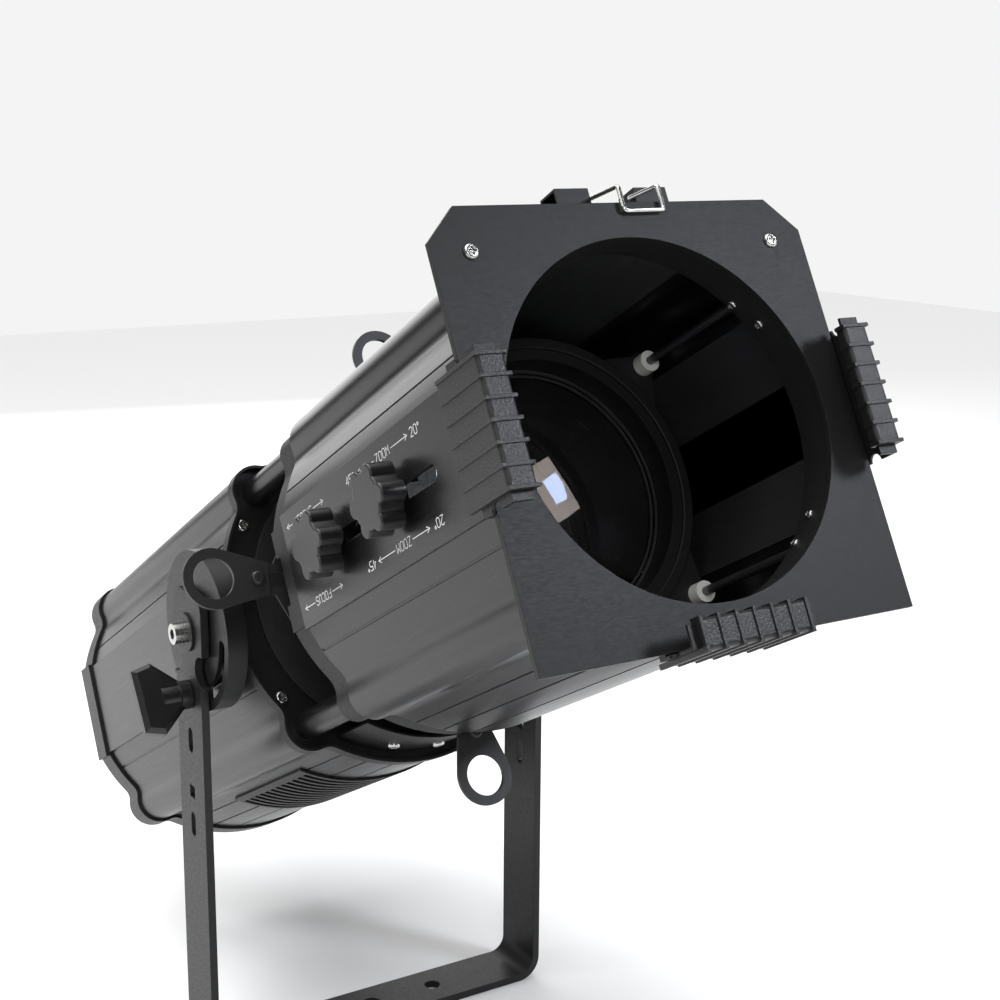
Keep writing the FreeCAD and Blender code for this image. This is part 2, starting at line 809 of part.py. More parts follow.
def make_gate_pins():
    """Four pins that the shutter sliders turn on, and four spacers between the gate plates."""
    start = gate_front + gate_sheet
    pieces = [disc(pin_r, start, gate_rear, x, z) for x, z in pin_places()]
    pieces += [disc(spacer_r, start, gate_rear, x, z) for x, z in spacer_places()]
    return Part.makeCompound(pieces)


def make_gate_housing():
    """Rear gate plate, light tube, the flange under the collar, the condenser seat and the rear flange."""
    outside = tube_r + tube_wall
    sheet = tube_flange_thick
    return Part.makeCompound([
        ring(gate_r, gate_bore, gate_rear, gate_rear + gate_sheet),
        ring(outside, tube_r, gate_rear + gate_sheet, tube_rear),
        ring(tube_flange_r, outside, collar_front - sheet, collar_front),
        ring(tube_r, condenser_r - condenser_seat, condenser_y, condenser_y + sheet),
        ring(tube_flange_r, outside, tube_rear - sheet, tube_rear),
    ])


def sector(outer, inner, y0, y1, half_angle, middle_angle):
    """Part of a ring about the axis; middle_angle is measured from +X towards +Z."""
    reach = 4 * outer
    low = math.radians(middle_angle - half_angle)
    high = math.radians(middle_angle + half_angle)
    far = [vec(reach * math.cos(a), y0 - 1, reach * math.sin(a)) for a in (low, high)]
    wedge = prism([vec(0, y0 - 1, 0)] + far, Y * (y1 - y0 + 2))
    return ring(outer, inner, y0, y1).common(wedge)


def make_gate_covers():
    covers = []
    for middle in (90, 270):
        cover = sector(cover_r, cover_r - cover_sheet, cover_front, collar_front, cover_half_angle, middle)
        holes = []
        for angle in cover_screw_angles(middle):
            holes.append(rod(screw_shank_r + 0.1, vec(0, cover_screw_y, 0), radial(angle), cover_r + 5))
        covers.append(cover.cut(Part.makeCompound(holes)))
    return Part.makeCompound(covers)


def radial(angle):
    return vec(math.cos(math.radians(angle)), 0, math.sin(math.radians(angle)))


def cover_screw_angles(middle):
    return [middle + step * cover_screw_step for step in (-1, 0, 1)]


def make_case_screws():
    """All pan-head screws of the body: frame, collar, gate covers and liner."""
    screws = []
    for side in (-1, 1):
        place = vec(side * frame_screw_x, 0, frame_screw_z)
        screws.append(pan_screw(place, Y * -1, screw_head_r, 2 * frame_leaf + 1.5))
    for x, z in collar_screw_places():
        screws.append(pan_screw(vec(x, collar_front, z), Y * -1, screw_head_r, 6))
    for middle in (90, 270):
        for angle in cover_screw_angles(middle):
            out = radial(angle)
            screws.append(pan_screw(out * (cover_r + 0.08) + Y * cover_screw_y, out, screw_head_r, 6))
    for angle, y in liner_screws:
        for turn in (angle, 180 - angle):
            inward = radial(turn) * -1
            screws.append(pan_screw(radial(turn) * (liner_r - 0.1) + Y * y, inward, small_head_r, 0.05))
    return Part.makeCompound(screws)


def shutter_shape(plane_y, inward, turn, toward):
    """One shutter, drawn along +Z and turned to its side: blade with a slot, handle plate and its screw."""
    front = plane_y - blade_sheet / 2
    outline = [
        (-blade_half, blade_inner), (blade_half, blade_inner), (blade_half, blade_shoulder),
        (tail_half, blade_neck), (tail_half, tail_end), (-tail_half, tail_end),
        (-tail_half, blade_neck), (-blade_half, blade_shoulder),
    ]
    blade = prism([vec(x, front, z) for x, z in outline], Y * blade_sheet)
    half = slider_wide / 2 + slider_fit
    slot_low = pin_place - slider_long / 2 - slider_fit
    slot_high = slot_low + slider_long + shutter_travel + 2 * slider_fit
    blade = blade.cut(box(-half, half, front - 1, front + 3, slot_low, slot_high))
    y0 = front - handle_sheet
    tangent = math.acos((handle_ring_r - tail_half) / (handle_place - handle_start))
    touch_x = handle_ring_r * math.sin(tangent)
    touch_z = handle_place - handle_ring_r * math.cos(tangent)
    body = prism([vec(x, y0, z) for x, z in (
        (-tail_half, handle_start), (tail_half, handle_start), (touch_x, touch_z), (-touch_x, touch_z))],
        Y * handle_sheet)
    handle = body.fuse(disc(handle_ring_r, y0, front, 0, handle_place))
    handle = handle.cut(disc(handle_hole_r, y0 - 1, front + 1, 0, handle_place)).removeSplitter()
    hole = disc(screw_shank_r + 0.1, y0 - 5, front + 5, 0, handle_screw)
    screw = pan_screw(vec(0, y0, handle_screw), Y * -1, screw_head_r, handle_sheet + blade_sheet)
    shutter = Part.makeCompound([blade.cut(hole), handle.cut(hole), screw])
    shutter.translate(vec(0, 0, -inward))
    shutter = turned(shutter, vec(0, 0, pin_place), Y, turn)
    return turned(shutter, vec(0, 0, 0), Y, toward)


def slider_shape(plane_y, turn, toward):
    """Nylon block on its pin, riding in the blade's slot."""
    half = slider_wide / 2
    half_long = slider_long / 2
    half_thick = slider_thick / 2
    block = box(-half, half, plane_y - half_thick, plane_y + half_thick,
                pin_place - half_long, pin_place + half_long)
    block = block.cut(disc(pin_r + 0.05, plane_y - 5, plane_y + 5, 0, pin_place))
    block = turned(block, vec(0, 0, pin_place), Y, turn)
    return turned(block, vec(0, 0, 0), Y, toward)


# name, turn about Y that takes +Z to the side, own rest angle, distance already pushed in
shutter_sides = (
    ("left", -90.0, left_turn, 0.0),
    ("bottom", 180.0, 0.0, bottom_in),
    ("top", 0.0, 0.0, top_in),
    ("right", 90.0, 0.0, 0.0),
)


def make_rear_body():
    shell = body_shell(collar_front + collar_thick, rear_joint)
    mouth = sector(body_r + 5, body_r - 8, vent_front + vent_frame, vent_rear - vent_frame,
                   vent_half_angle - 2, 270)
    return shell.cut(mouth)


def make_vent_grille():
    """Curved frame on the underside with slats across it: two side rails joined by cross bars."""
    outer = body_r + vent_proud
    rail_angle = vent_rail_angle / 2
    pitch = (vent_rear - vent_front - vent_frame) / vent_slats
    bars = [sector(outer, body_r, vent_front, vent_front + vent_frame, vent_half_angle - vent_rail_angle, 270)]
    for index in range(1, vent_slats + 1):
        y1 = vent_front + vent_frame + index * pitch
        y0 = y1 - pitch * vent_slat_share
        bars.append(sector(outer, body_r, y0, y1, vent_half_angle - vent_rail_angle, 270))
    for side in (-1, 1):
        middle = 270 + side * (vent_half_angle - rail_angle)
        bars.append(sector(outer, body_r, vent_front, vent_rear, rail_angle, middle))
    return fuse_all(bars)


def make_rear_cap():
    """Moulded end cap with a rounded back edge, openings for the panel, buttons and connectors."""
    outer = lobed_prism(cap_proud, rear_joint, cap_rear)
    back = [e for e in outer.Edges if abs(e.CenterOfMass.y - cap_rear) < 0.01 and e.BoundBox.YLength < 0.01]
    outer = outer.makeFillet(cap_round, back)
    cap = outer.cut(lobed_prism(-wall, rear_joint - 1, cap_rear - cap_wall))
    wide, tall = inlet_size
    inside = cap_rear - cap_wall - 1
    cuts = [box(inlet_x - wide / 2, inlet_x + wide / 2, inside, cap_rear + 1,
                connector_z - tall / 2, connector_z + tall / 2)]
    for x in socket_xs:
        cuts.append(disc(socket_r, inside, cap_rear + 1, x, connector_z))
    for x in button_places():
        cuts.append(disc(button_r + button_fit, inside, cap_rear + 1, x, panel_z - button_drop))
    return cap.cut(Part.makeCompound(cuts))


def button_places():
    return [(index - 1.5) * button_pitch for index in range(4)]


def make_control_panel():
    """Display bezel with a sunk window and clear holes for the four buttons."""
    wide, tall = panel_size
    y0 = cap_rear
    plate = box(-wide / 2, wide / 2, y0, y0 + panel_thick, panel_z - tall / 2, panel_z + tall / 2)
    rim = [e for e in plate.Edges if abs(e.CenterOfMass.y - y0 - panel_thick) < 0.01]
    plate = plate.makeFillet(1.5, rim)
    cuts = [disc(button_r + button_fit, y0 - 1, y0 + 9, x, panel_z - button_drop) for x in button_places()]
    low, high = window_z
    cuts.append(box(-window_half, window_half, y0 + panel_thick - window_sunk, y0 + 9,
                    panel_z + low, panel_z + high))
    return plate.cut(Part.makeCompound(cuts))


def make_menu_button(x):
    tip = cap_rear + panel_thick + button_proud
    button = disc(button_r, cap_rear - button_root, tip, x, panel_z - button_drop)
    top = max(button.Edges, key=lambda e: e.CenterOfMass.y)
    return button.makeFillet(button_round, [top])


def contacts(x, circle):
    """Three round contacts on a circle, standing on a connector's floor."""
    foot = cap_rear - connector_deep + connector_floor - 1
    pins = []
    for angle in (90, 210, 330):
        place = radial(angle) * circle + vec(x, 0, connector_z)
        pins.append(disc(contact_r, foot, cap_rear - contact_sunk, place.x, place.z))
    return pins


def make_power_inlet():
    """Locking mains inlet: flanged block with a round mouth and three contacts."""
    half_x = inlet_size[0] / 2
    half_z = inlet_size[1] / 2
    front = cap_rear - connector_deep
    block = box(inlet_x - half_x, inlet_x + half_x, front, cap_rear,
                connector_z - half_z, connector_z + half_z)
    half_x += connector_lip
    half_z += connector_lip
    lip = box(inlet_x - half_x, inlet_x + half_x, cap_rear, cap_rear + connector_lip_thick,
              connector_z - half_z, connector_z + half_z)
    mouth = disc(inlet_mouth_r, front + connector_floor, cap_rear + 3, inlet_x, connector_z)
    return fuse_all([block.fuse(lip).cut(mouth)] + contacts(inlet_x, contact_circle[0]))


def make_data_sockets():
    """Two round three-pole data sockets with flanges."""
    sockets = []
    front = cap_rear - connector_deep
    half_x = socket_r + connector_lip / 2
    half_z = socket_r + connector_lip
    for x in socket_xs:
        shell = disc(socket_r, front, cap_rear, x, connector_z)
        flange = box(x - half_x, x + half_x, cap_rear, cap_rear + connector_lip_thick,
                     connector_z - half_z, connector_z + half_z)
        mouth = disc(socket_r - socket_wall, front + connector_floor, cap_rear + 3, x, connector_z)
        sockets.append(fuse_all([shell.fuse(flange).cut(mouth)] + contacts(x, contact_circle[1])))
    return Part.makeCompound(sockets)


def make_led_module():
    """LED array: ceramic board with a square phosphor field."""
    board = box(-34, 34, tube_rear - 3, tube_rear, -34, 34)
    field = box(-17, 17, tube_rear - 4.2, tube_rear - 3, -17, 17)
    return board.fuse(field).removeSplitter()


def make_heatsink():
    """Round base plate with upright fins brazed on."""
    root = tube_rear + sink_base
    round_stock = disc(sink_r, root, fin_end)
    pieces = [disc(sink_r, tube_rear, root)]
    for index in range(fin_count):
        x = (index - (fin_count - 1) / 2) * fin_pitch
        fin = box(x - fin_thick / 2, x + fin_thick / 2, root, fin_end, -sink_r, sink_r)
        pieces += fin.common(round_stock).Solids
    return Part.makeCompound(pieces)


def make_fan_frame():
    """Square axial fan frame with a rear spider that carries the spindle."""
    half = fan_side / 2
    y0 = fin_end
    y1 = fin_end + fan_deep
    frame = box(-half, half, y0, y1, -half, half).cut(disc(fan_bore, y0 - 1, y1 + 1))
    spokes = [box(-3, 3, y1 - 3, y1, -half + 1, half - 1), box(-half + 1, half - 1, y1 - 3, y1, -3, 3)]
    hub = disc(hub_r - 2, y1 - 3, y1)
    shaft = disc(fan_shaft_r, y0 + 5, y1 - 2)
    return fuse_all([frame, hub, shaft] + spokes)


def make_fan_rotor():
    y0 = fin_end + 3.0
    y1 = fin_end + fan_deep - 4.0
    hub = disc(hub_r, y0, y1)
    blades = []
    for index in range(blade_count):
        blade = box(hub_r - 3, rotor_r, -0.9, 0.9, -9.0, 9.0)
        blade = turned(blade, vec(0, 0, 0), X, 48)
        blade.translate(vec(0, (y0 + y1) / 2, 0))
        blades.append(turned(blade, vec(0, 0, 0), Y, 360.0 * index / blade_count))
    rotor = fuse_all([hub] + blades).common(disc(rotor_r, y0, y1))
    return rotor.cut(disc(fan_shaft_r + 0.05, y0 + 2, y1 + 1)).removeSplitter()


def make_driver_box():
    return box(-driver_half_x, driver_half_x, driver_front, cap_rear - cap_wall,
               -driver_half_z, driver_half_z)


def set_tilt(shape):
    """Take a level body piece to the resting tilt about the pivot, at the pivot's height."""
    copy = shape.copy()
    copy.translate(vec(0, -pivot_y, 0))
    copy.rotate(vec(0, 0, 0), X, -tilt_rest)
    copy.translate(vec(0, 0, pivot_height))
    return copy


def body_nodes():
    rear_edge_zoom = zoom_front + zoom_tube_long - lens_shoulder
    rear_edge_focus = focus_front + focus_tube_long - lens_shoulder
    holder = make_holder()
    grip = make_grip()
    nodes = {
        "tilt_brackets": both_sides(make_tilt_bracket()),
        "front_barrel": make_front_barrel(),
        "front_ring": make_front_ring(),
        "colour_frame": Part.makeCompound([frame_leaf_at(0), frame_leaf_at(frame_leaf)]),
        "case_screws": make_case_screws(),
        "holder_left": holder,
        "holder_right": mirror_x(holder),
        "holder_bottom": to_bottom(holder),
        "grip_left": grip,
        "grip_right": mirror_x(grip),
        "grip_bottom": to_bottom(grip),
        "latch_brackets": make_latch_brackets(),
        "latch_wire": make_latch_wire(),
        "guide_rods": make_guide_rods(),
        "corner_posts": make_corner_posts(),
        "collar": make_collar(),
        "gate_band": make_gate_band(),
        "gate_plate_front": make_gate_plate_front(),
        "gate_housing": make_gate_housing(),
        "gate_pins": make_gate_pins(),
        "gate_covers": make_gate_covers(),
        "rear_body": make_rear_body(),
        "vent_grille": make_vent_grille(),
        "rear_cap": make_rear_cap(),
        "condenser_lens": lens_solid(condenser_r, condenser_y - 4, 4, condenser_bulge),
        "led_module": make_led_module(),
        "heatsink": make_heatsink(),
        "fan_frame": make_fan_frame(),
        "fan_rotor": make_fan_rotor(),
        "driver_box": make_driver_box(),
        "control_panel": make_control_panel(),
        "power_inlet": make_power_inlet(),
        "data_sockets": make_data_sockets(),
        "zoom_carriage": make_carriage(zoom_front, zoom_lens_r, zoom_tube_long, zoom_knob_y),
        "zoom_lens": lens_solid(zoom_lens_r, rear_edge_zoom - lens_edge, lens_edge, zoom_bulge),
        "zoom_bushings": make_bushings(zoom_front),
        "zoom_knob": make_star_knob(zoom_knob_y),
        "focus_carriage": make_carriage(focus_front, focus_lens_r, focus_tube_long, focus_knob_y),
        "focus_lens": lens_solid(focus_lens_r, rear_edge_focus - lens_edge, lens_edge, focus_bulge),
        "focus_bushings": make_bushings(focus_front),
        "focus_knob": make_star_knob(focus_knob_y),
    }
    for index, (name, toward, turn, inward) in enumerate(shutter_sides):
        plane_y = plane_first + index * plane_pitch
        nodes["shutter_" + name] = shutter_shape(plane_y, inward, turn, toward)
        nodes["shutter_slider_" + name] = slider_shape(plane_y, turn, toward)
    for index, x in enumerate(button_places()):
        nodes["menu_button_%d" % (index + 1)] = make_menu_button(x)
    return {name: set_tilt(shape) for name, shape in nodes.items()}


def yoke_nodes():
    return {
        "yoke_bar": make_yoke_bar(),
        "pivot_bolts": both_sides(make_pivot_bolt()),
        "pivot_washers": both_sides(make_pivot_washer()),
        "friction_discs": both_sides(make_friction_disc()),
        "lock_studs": both_sides(make_lock_stud()),
        "wing_knob_left": make_wing_knob(-1),
        "wing_knob_right": make_wing_knob(1),
    }


def write_steps():
    os.makedirs("parts", exist_ok=True)
    nodes = yoke_nodes()
    nodes.update(body_nodes())
    for name, shape in nodes.items():
        valid = shape.isValid()
        volume = sum(solid.Volume for solid in shape.Solids)
        print("%-22s solids %2d  volume %10.1f  valid %s" % (name, len(shape.Solids), volume, valid))
        shape.exportStep("parts/%s.step" % name)


write_steps()
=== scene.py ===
import json
import math
import bpy
import bmesh
import numpy as np
from mathutils import Euler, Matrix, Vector


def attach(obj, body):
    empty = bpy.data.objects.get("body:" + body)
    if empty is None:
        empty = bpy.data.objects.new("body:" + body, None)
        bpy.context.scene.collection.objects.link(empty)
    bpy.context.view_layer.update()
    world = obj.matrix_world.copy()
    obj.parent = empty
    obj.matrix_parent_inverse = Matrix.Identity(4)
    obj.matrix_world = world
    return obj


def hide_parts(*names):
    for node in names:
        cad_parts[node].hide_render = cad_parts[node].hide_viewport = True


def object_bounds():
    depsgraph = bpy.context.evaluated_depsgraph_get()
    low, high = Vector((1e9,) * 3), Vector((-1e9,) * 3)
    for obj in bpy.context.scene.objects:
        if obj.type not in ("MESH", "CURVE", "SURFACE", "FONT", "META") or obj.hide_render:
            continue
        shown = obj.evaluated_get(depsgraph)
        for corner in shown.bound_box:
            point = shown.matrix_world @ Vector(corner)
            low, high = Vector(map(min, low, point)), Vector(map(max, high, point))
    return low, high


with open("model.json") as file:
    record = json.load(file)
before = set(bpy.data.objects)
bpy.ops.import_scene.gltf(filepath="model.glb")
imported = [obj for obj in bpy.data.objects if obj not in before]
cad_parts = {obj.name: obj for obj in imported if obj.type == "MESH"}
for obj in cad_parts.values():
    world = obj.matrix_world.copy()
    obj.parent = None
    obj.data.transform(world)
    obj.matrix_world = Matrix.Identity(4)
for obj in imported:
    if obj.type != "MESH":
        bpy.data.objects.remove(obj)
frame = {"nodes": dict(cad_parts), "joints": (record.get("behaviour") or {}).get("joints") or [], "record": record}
cadLow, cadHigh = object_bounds()
print("frame loaded:", len(frame["nodes"]), "nodes")

joints = {joint["name"]: joint for joint in frame["joints"]}

# The lamp body is described level, in millimetres: x to the right seen from the front, y backwards
# from the front plate, z up from the optical axis. The frame's own joints tell how it is tilted.
lamp = {"pivotY": 362.5, "padX": 105.5, "collarY": 331.0}
pivot = np.array(joints["tilt"]["pos_m"])
bodyRight = np.array([1.0, 0.0, 0.0])
bodyRear = np.array(joints["zoom_slide"]["axis"])
bodyUp = np.cross(bodyRight, bodyRear)
tilt = math.atan2(-bodyRear[2], bodyRear[1])


# level body millimetres to metres in the frame
def placed(points):
    p = np.asarray(points, float)
    along = p[..., 0:1] * bodyRight + (p[..., 1:2] - lamp["pivotY"]) * bodyRear + p[..., 2:3] * bodyUp
    return pivot + along / 1000


# quads of a grid of rows by columns, wrapping round where the grid is closed
def gridFaces(rows, columns, wrapRows=False, wrapColumns=False):
    row, column = np.meshgrid(np.arange(rows if wrapRows else rows - 1),
                              np.arange(columns if wrapColumns else columns - 1), indexing="ij")
    nextRow = (row + 1) % rows
    nextColumn = (column + 1) % columns
    quads = [row * columns + column, row * columns + nextColumn,
             nextRow * columns + nextColumn, nextRow * columns + column]
    return np.stack(quads, axis=-1).reshape(-1, 4)


# one piece from several grids: (points, wrapRows, wrapColumns), points in metres in the frame
def makePiece(name, grids, body, material, smoothAngle=35.0, replaces=()):
    vertices, faces, start = [], [], 0
    for points, wrapRows, wrapColumns in grids:
        rows, columns = points.shape[:2]
        vertices.append(points.reshape(-1, 3))
        faces.append(gridFaces(rows, columns, wrapRows, wrapColumns) + start)
        start += rows * columns
    mesh = bpy.data.meshes.new(name)
    mesh.from_pydata(np.concatenate(vertices).tolist(), [], np.concatenate(faces).tolist())
    return finishPiece(name, mesh, body, material, smoothAngle, replaces)


# merges doubled points, turns the faces outwards, smooths all but the sharp edges and mounts the piece
def finishPiece(name, mesh, body, material, smoothAngle, replaces):
    shape = bmesh.new()
    shape.from_mesh(mesh)
    bmesh.ops.remove_doubles(shape, verts=shape.verts, dist=2e-6)
    bmesh.ops.dissolve_degenerate(shape, edges=shape.edges, dist=1e-7)
    bmesh.ops.recalc_face_normals(shape, faces=shape.faces)
    shape.to_mesh(mesh)
    shape.free()
    mesh.shade_smooth()
    mesh.set_sharp_from_angle(angle=math.radians(smoothAngle))
    mesh.materials.append(material)
    piece = bpy.data.objects.new(name, mesh)
    bpy.context.scene.collection.objects.link(piece)
    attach(piece, body)
    if replaces:
        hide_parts(*replaces)
    return piece


# profile of (radius, place) pairs turned about the optical axis: x is the radius times the cosine, z the
# radius times the sine, and y the place
def turned(profile, count=96):
    profile = np.asarray(profile, float)
    angle = np.linspace(0, 2 * np.pi, count, endpoint=False)
    radius = profile[:, 0:1]
    return np.stack([radius * np.cos(angle), np.broadcast_to(profile[:, 1:2], (len(profile), count)),
                     radius * np.sin(angle)], axis=-1)


# sRGB hex to linear: the piecewise curve of the sRGB standard
def linear(hexColour):
    value = np.array([int(hexColour[i:i + 2], 16) for i in (1, 3, 5)]) / 255
    value = np.where(value <= 0.04045, value / 12.92, ((value + 0.055) / 1.055) ** 2.4)
    return (*value.tolist(), 1.0)


# adds a node with its settings; an input that is given a socket is linked to it
def addNode(tree, kind, inputs=None, **settings):
    node = tree.nodes.new(kind)
    for name, value in settings.items():
        setattr(node, name, value)
    for key, value in (inputs or {}).items():
        if isinstance(value, bpy.types.NodeSocket):
            tree.links.new(value, node.inputs[key])
        else:
            node.inputs[key].default_value = value
    return node


# Object coordinates turned level with the lamp body, about the tilt pivot
def levelCoordinates(tree):
    source = addNode(tree, "ShaderNodeTexCoord").outputs["Object"]
    shift = np.array([pivot @ bodyRight, pivot @ bodyRear, pivot @ bodyUp])
    return addNode(tree, "ShaderNodeMapping", {"Vector": source, "Location": tuple(-shift),
                                               "Rotation": (tilt, 0, 0)}).outputs["Vector"]


# A coated or moulded surface: two close colours mottled over patchMm, roughness that varies by spread,
# a grain of grainMm that stands bumpMm proud, stretched along the body where it was drawn or brushed,
# and edges that catch the light over edgeMm.
def surface(name, spec):
    material = bpy.data.materials.new(name)
    material.use_nodes = True
    tree = material.node_tree
    shader = tree.nodes["Principled BSDF"]
    level = levelCoordinates(tree)
    stretch = addNode(tree, "ShaderNodeMapping", {"Vector": level, "Scale": spec.get("stretch", (1, 1, 1))})
    patch = addNode(tree, "ShaderNodeTexNoise", {
        "Vector": stretch.outputs["Vector"], "Scale": 1000 / spec.get("patchMm", 30.0), "Detail": 3.0})
    grain = addNode(tree, "ShaderNodeTexNoise", {
        "Vector": stretch.outputs["Vector"], "Scale": 1000 / spec["grainMm"], "Detail": 2.0})
    colour = addNode(tree, "ShaderNodeMix", {
        "Factor": patch.outputs["Fac"], "A": linear(spec["colour"]),
        "B": linear(spec.get("second", spec["colour"]))}, data_type="RGBA")
    low = spec["roughness"] - spec.get("spread", 0.05)
    rough = addNode(tree, "ShaderNodeMapRange", {
        "Value": grain.outputs["Fac"], "From Min": 0.3, "From Max": 0.7,
        "To Min": low, "To Max": low + 2 * spec.get("spread", 0.05)})
    bumpInputs = {"Height": grain.outputs["Fac"], "Strength": spec.get("strength", 0.5),
                  "Distance": spec["bumpMm"] / 1000}
    if spec.get("edgeMm"):
        edge = addNode(tree, "ShaderNodeBevel", {"Radius": spec["edgeMm"] / 1000}, samples=4)
        bumpInputs["Normal"] = edge.outputs["Normal"]
    bump = addNode(tree, "ShaderNodeBump", bumpInputs)
    tree.links.new(colour.outputs["Result"], shader.inputs["Base Color"])
    tree.links.new(rough.outputs["Result"], shader.inputs["Roughness"])
    tree.links.new(bump.outputs["Normal"], shader.inputs["Normal"])
    for key, value in spec.get("shader", {}).items():
        shader.inputs[key].default_value = value
    return material


finishes = {
    # drawn aluminium with a black anodised coat: satin, with fine lines left by the die
    "anodisedExtrusion": {"colour": "#0d0d0e", "second": "#0f0f10", "roughness": 0.29, "spread": 0.02,
                          "grainMm": 1.2, "bumpMm": 0.006, "patchMm": 40.0, "stretch": (1, 0.02, 1),
                          "edgeMm": 0.6, "shader": {"Specular IOR Level": 0.42}},
    # the anodised coat on the inside of the barrel, with painted light: its colour is paler than the outside
    # coat's, standing in for light on the flutes so that they can be seen
    "liningCoatPaintedLight": {"colour": "#2b2b2c", "second": "#353536", "roughness": 0.36, "spread": 0.03,
                   "grainMm": 1.2, "bumpMm": 0.006, "patchMm": 40.0, "stretch": (1, 0.02, 1)},
    # sheet steel with a satin powder coat: even, with a faint orange peel
    "powderCoat": {"colour": "#0e0e0f", "second": "#131314", "roughness": 0.42, "spread": 0.06,
                   "grainMm": 1.4, "bumpMm": 0.05, "edgeMm": 0.5, "shader": {"Specular IOR Level": 0.34}},
    # thin aluminium plate with a matt black coat over a brushed surface
    "coatedPlate": {"colour": "#171718", "second": "#1c1c1d", "roughness": 0.5, "spread": 0.05,
                    "grainMm": 0.9, "bumpMm": 0.02, "stretch": (0.25, 1, 1), "edgeMm": 0.4,
                    "shader": {"Specular IOR Level": 0.3}},
    # flat steel bar with a satin powder coat, a little more worn
    "barCoat": {"colour": "#101011", "second": "#171718", "roughness": 0.45, "spread": 0.08,
                "grainMm": 1.5, "bumpMm": 0.06, "edgeMm": 0.7, "shader": {"Specular IOR Level": 0.34}},
    # zinc-plated screw heads: bright, slightly uneven
    "zincPlate": {"colour": "#c6c6c2", "second": "#a8a8a6", "roughness": 0.24, "spread": 0.08,
                  "grainMm": 0.6, "bumpMm": 0.01, "patchMm": 2.0, "edgeMm": 0.2,
                  "shader": {"Metallic": 1.0}},
    # drawn spring wire: bright, polished along its length
    "springWire": {"colour": "#d2d2ce", "second": "#b9b9b6", "roughness": 0.18, "spread": 0.05,
                   "grainMm": 0.7, "bumpMm": 0.01, "patchMm": 5.0, "shader": {"Metallic": 1.0}},
    # ABS from a spark-eroded mould: coarse grain that scatters the light
    "grainedAbs": {"colour": "#0f0f10", "second": "#161617", "roughness": 0.46, "spread": 0.1,
                   "grainMm": 1.1, "bumpMm": 0.22, "strength": 0.8, "edgeMm": 0.5},
    # the same mould texture, finer, on the end cap
    "capAbs": {"colour": "#0c0c0d", "second": "#111112", "roughness": 0.44, "spread": 0.08,
               "grainMm": 1.2, "bumpMm": 0.1, "edgeMm": 0.5},
    # nylon knobs from a smooth mould: satin with soft patches
    "knobNylon": {"colour": "#0b0b0c", "second": "#111112", "roughness": 0.36, "spread": 0.06,
                  "grainMm": 1.3, "bumpMm": 0.04, "edgeMm": 0.5},
    # matt black paint on castings and inside parts: takes no highlight
    "mattCasting": {"colour": "#0a0a0b", "second": "#0f0f10", "roughness": 0.58, "spread": 0.08,
                    "grainMm": 1.2, "bumpMm": 0.08, "edgeMm": 0.5},
    # ground steel rod, blackened: dark metal with a long highlight
    "blackenedRod": {"colour": "#77777a", "second": "#66666a", "roughness": 0.34, "spread": 0.05,
                     "grainMm": 0.8, "bumpMm": 0.01, "shader": {"Metallic": 0.9}},
    # white nylon: slightly translucent, no grain
    "whiteNylon": {"colour": "#f0efea", "second": "#e6e5df", "roughness": 0.38, "spread": 0.04,
                   "grainMm": 1.5, "bumpMm": 0.02, "shader": {"Subsurface Weight": 0.15,
                                                              "Subsurface Scale": 0.002}},
    # stainless sheet with a heat-proof black coat: slightly metallic, scuffed
    "shutterSheet": {"colour": "#1f1f20", "second": "#2a2a2b", "roughness": 0.44, "spread": 0.09,
                     "grainMm": 1.2, "bumpMm": 0.03, "patchMm": 18.0, "edgeMm": 0.4,
                     "shader": {"Metallic": 0.2}},
    # extruded aluminium heat sink, uncoated
    "bareAluminium": {"colour": "#b9bbbd", "second": "#a9abad", "roughness": 0.36, "spread": 0.06,
                      "grainMm": 1.0, "bumpMm": 0.02, "stretch": (1, 0.05, 1), "shader": {"Metallic": 1.0}},
    # glass-filled nylon of a fan
    "fanNylon": {"colour": "#131314", "second": "#1a1a1b", "roughness": 0.5, "spread": 0.06,
                 "grainMm": 1.0, "bumpMm": 0.04},
    # potted driver in a grey case
    "pottedCase": {"colour": "#3a3b3d", "second": "#454648", "roughness": 0.55, "spread": 0.06,
                   "grainMm": 1.4, "bumpMm": 0.06},
    # black acrylic bezel: smooth and glossy
    "bezelAcrylic": {"colour": "#0b0b0d", "second": "#101013", "roughness": 0.16, "spread": 0.03,
                     "grainMm": 1.5, "bumpMm": 0.005, "edgeMm": 0.4},
    # silicone keypad
    "keyRubber": {"colour": "#5a5b5d", "second": "#646567", "roughness": 0.62, "spread": 0.05,
                  "grainMm": 0.9, "bumpMm": 0.03},
    # connector bodies
    "connectorNylon": {"colour": "#1c1d22", "second": "#232429", "roughness": 0.44, "spread": 0.05,
                       "grainMm": 1.1, "bumpMm": 0.03, "edgeMm": 0.3},
    # screen-printed ink
    "printInk": {"colour": "#e4e4e2", "second": "#d2d2d0", "roughness": 0.6, "spread": 0.04,
                 "grainMm": 0.8, "bumpMm": 0.01, "patchMm": 6.0},
}
materials = {name: surface(name, spec) for name, spec in finishes.items()}


